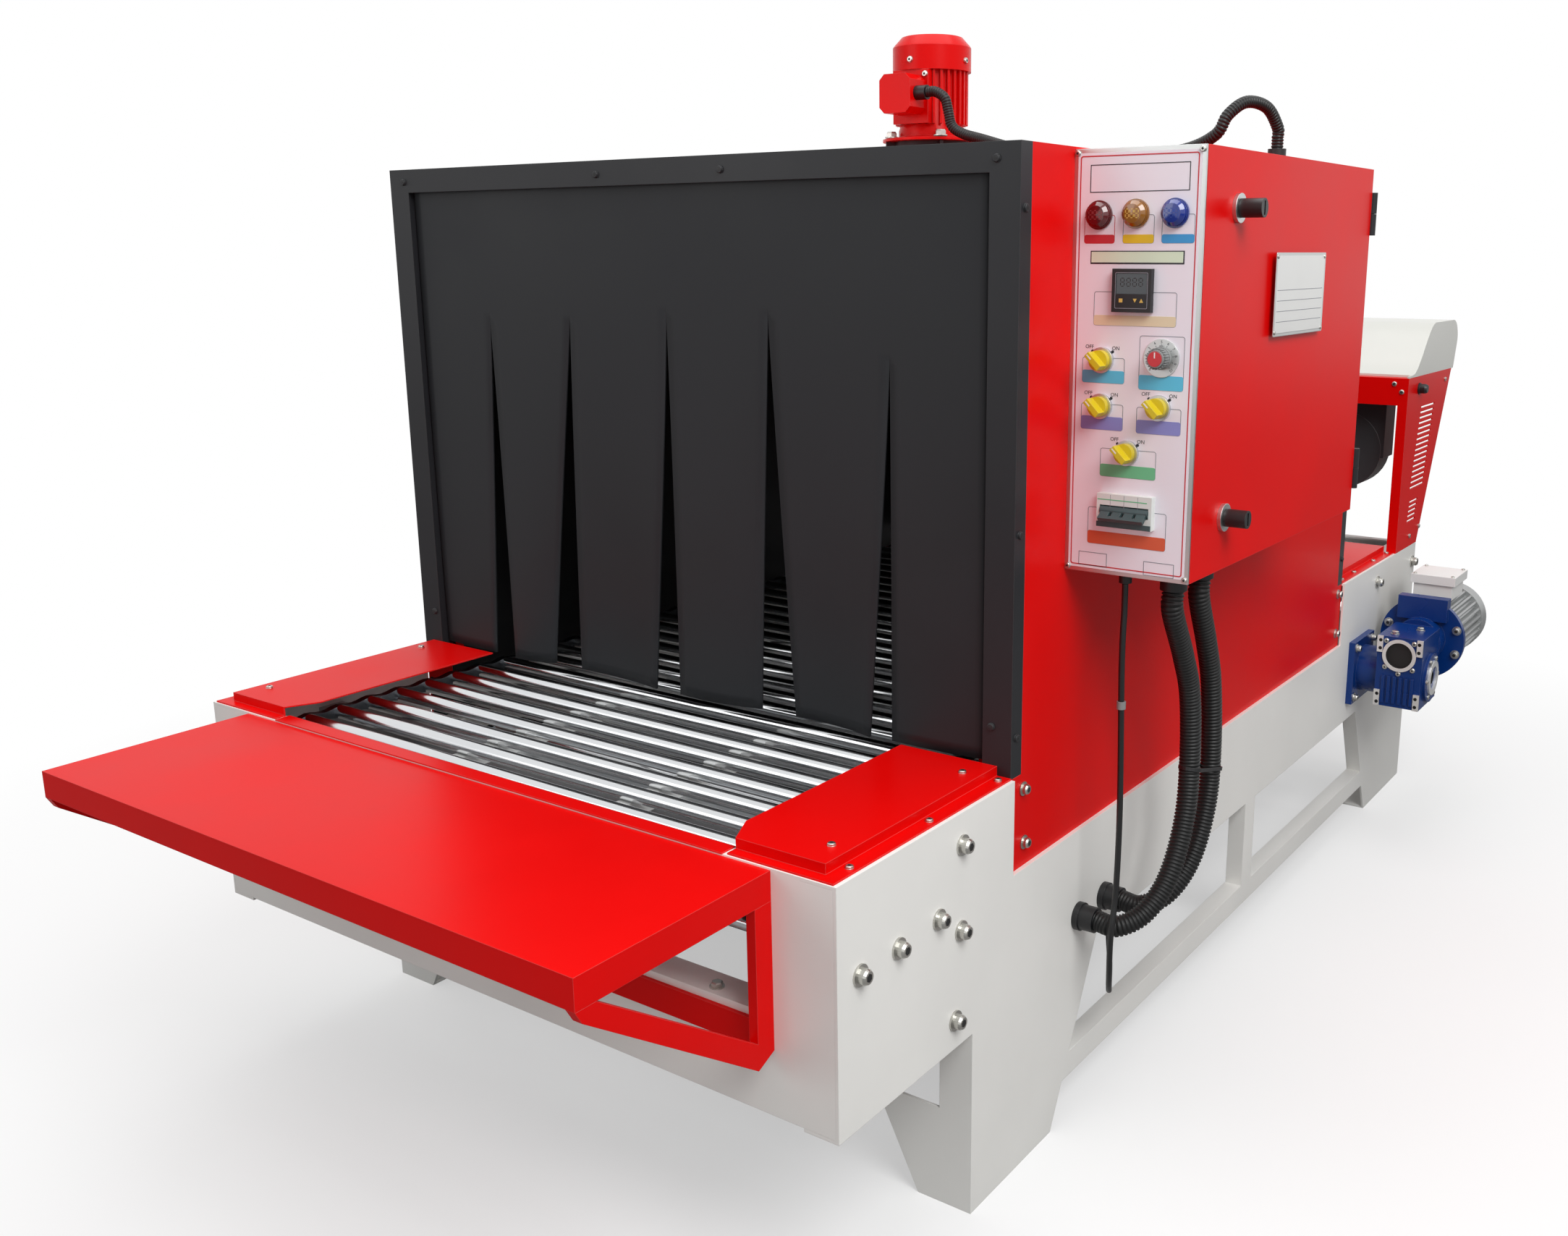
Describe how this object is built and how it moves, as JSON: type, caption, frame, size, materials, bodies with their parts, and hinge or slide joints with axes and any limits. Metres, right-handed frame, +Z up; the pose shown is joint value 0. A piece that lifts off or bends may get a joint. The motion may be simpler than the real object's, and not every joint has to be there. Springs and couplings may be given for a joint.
{
  "type": "heat shrink tunnel",
  "caption": "Heat shrink tunnel with a chain-driven rod conveyor, curtained insulated hood, top fan, side control box, worm gearmotor and cooling portal on a folded sheet base.",
  "frame": {"origin": "on the floor under the middle of the bounding box", "axes": "+Y along the conveyor from infeed to outfeed, +X to the control side, +Z up"},
  "size_m": [1.281, 2.608, 1.495],
  "materials": {
    "white_powder_coat": "smooth satin powder coat",
    "red_powder_coat": "smooth semi-gloss powder coat",
    "red_enamel": "gloss enamel on cast metal",
    "bright_steel": "bright drawn steel",
    "grey_steel": "dull rolled steel",
    "black_powder_coat": "satin powder coat",
    "black_rubber": "matte sheet rubber",
    "panel_face": "smooth pale overlay on sheet",
    "black_plastic": "moulded black plastic",
    "yellow_plastic": "moulded yellow plastic",
    "grey_plastic": "moulded grey plastic",
    "black_conduit": "flexible black plastic conduit",
    "lamp_red": "translucent lens",
    "lamp_amber": "translucent lens",
    "lamp_blue": "translucent lens",
    "white_plastic": "moulded light plastic",
    "black_pvc": "smooth cable sheath",
    "blue_enamel": "gloss enamel on cast metal",
    "cast_aluminium": "fine cast aluminium",
    "dark_plastic": "dark grey satin paint",
    "white_cowl": "smooth satin paint"
  },
  "bodies": {
    "machine": {"side_frame_right": "white_powder_coat", "side_frame_left": "white_powder_coat", "front_apron": "white_powder_coat", "rear_apron": "white_powder_coat", "infeed_tray": "red_powder_coat", "tray_bracket": "red_powder_coat", "infeed_cover_right": "red_powder_coat", "infeed_cover_left": "red_powder_coat", "outfeed_cover_right": "red_powder_coat", "outfeed_cover_left": "red_powder_coat", "hood_wall_right": "red_powder_coat", "hood_wall_left": "red_powder_coat", "hood_roof": "red_powder_coat", "control_box": "red_powder_coat", "outfeed_portal": "red_powder_coat", "fan_stool": "red_enamel", "fan_motor": "red_enamel", "fan_cowl": "red_enamel", "fan_terminal_box": "red_enamel", "conveyor_rods": "bright_steel", "tail_shaft": "bright_steel", "head_shaft": "bright_steel", "drive_shaft": "bright_steel", "door_hinges": "bright_steel", "switch_bezels": "bright_steel", "support_rails": "grey_steel", "cross_bars": "grey_steel", "conveyor_chains": "grey_steel", "shaft_bearings": "grey_steel", "front_frame": "black_powder_coat", "rear_frame": "black_powder_coat", "front_curtain": "black_rubber", "rear_curtain": "black_rubber", "control_panel": "panel_face", "temperature_controller": "black_plastic", "conduit_glands": "black_conduit", "top_conduit": "black_conduit", "front_conduit": "black_conduit", "rear_conduit": "black_conduit", "lamp_red": "lamp_red", "lamp_amber": "lamp_amber", "lamp_blue": "lamp_blue", "mains_breaker": "white_plastic", "signal_cable": "black_pvc", "gearbox": "blue_enamel", "gear_motor": "cast_aluminium", "motor_terminal_box": "cast_aluminium", "cooling_fans": "dark_plastic", "cooling_cowl": "white_cowl"},
    "door": {"control_door": "red_powder_coat", "lock_bezels": "bright_steel"},
    "upper_lock": {"door_lock_upper": "black_plastic"},
    "lower_lock": {"door_lock_lower": "black_plastic"},
    "conveyor_switch": {"selector_conveyor": "yellow_plastic"},
    "heater_switch": {"selector_heater": "yellow_plastic"},
    "hot_fan_switch": {"selector_hot_fan": "yellow_plastic"},
    "cool_fan_switch": {"selector_cool_fan": "yellow_plastic"},
    "speed_dial": {"speed_knob": "grey_plastic"},
    "breaker_levers": {"breaker_toggles": "black_plastic"}
  },
  "joints": [
    {"name": "door_hinge", "type": "hinge", "parent": "machine", "child": "door", "pos_m": [0.6075, 0.072, 1.02], "axis": [0, 0, 1], "range_deg": [0, 120]},
    {"name": "upper_lock_turn", "type": "hinge", "parent": "door", "child": "upper_lock", "pos_m": [0.6075, -0.452, 1.201], "axis": [1, 0, 0], "range_deg": [0, 90]},
    {"name": "lower_lock_turn", "type": "hinge", "parent": "door", "child": "lower_lock", "pos_m": [0.6075, -0.452, 0.838], "axis": [1, 0, 0], "range_deg": [0, 90]},
    {"name": "conveyor_switch_turn", "type": "hinge", "parent": "machine", "child": "conveyor_switch", "pos_m": [0.4885, -0.564, 1.028], "axis": [0, 1, 0], "range_deg": [0, 90]},
    {"name": "heater_switch_turn", "type": "hinge", "parent": "machine", "child": "heater_switch", "pos_m": [0.4885, -0.564, 0.974], "axis": [0, 1, 0], "range_deg": [0, 90]},
    {"name": "hot_fan_switch_turn", "type": "hinge", "parent": "machine", "child": "hot_fan_switch", "pos_m": [0.5625, -0.564, 0.976], "axis": [0, 1, 0], "range_deg": [0, 90]},
    {"name": "cool_fan_switch_turn", "type": "hinge", "parent": "machine", "child": "cool_fan_switch", "pos_m": [0.5245, -0.564, 0.921], "axis": [0, 1, 0], "range_deg": [0, 90]},
    {"name": "speed_dial_turn", "type": "hinge", "parent": "machine", "child": "speed_dial", "pos_m": [0.5635, -0.564, 1.033], "axis": [0, 1, 0], "range_deg": [-135, 135]},
    {"name": "breaker_throw", "type": "hinge", "parent": "machine", "child": "breaker_levers", "pos_m": [0.527, -0.555, 0.852], "axis": [-1, 0, 0], "range_deg": [0, 70]}
  ]
}
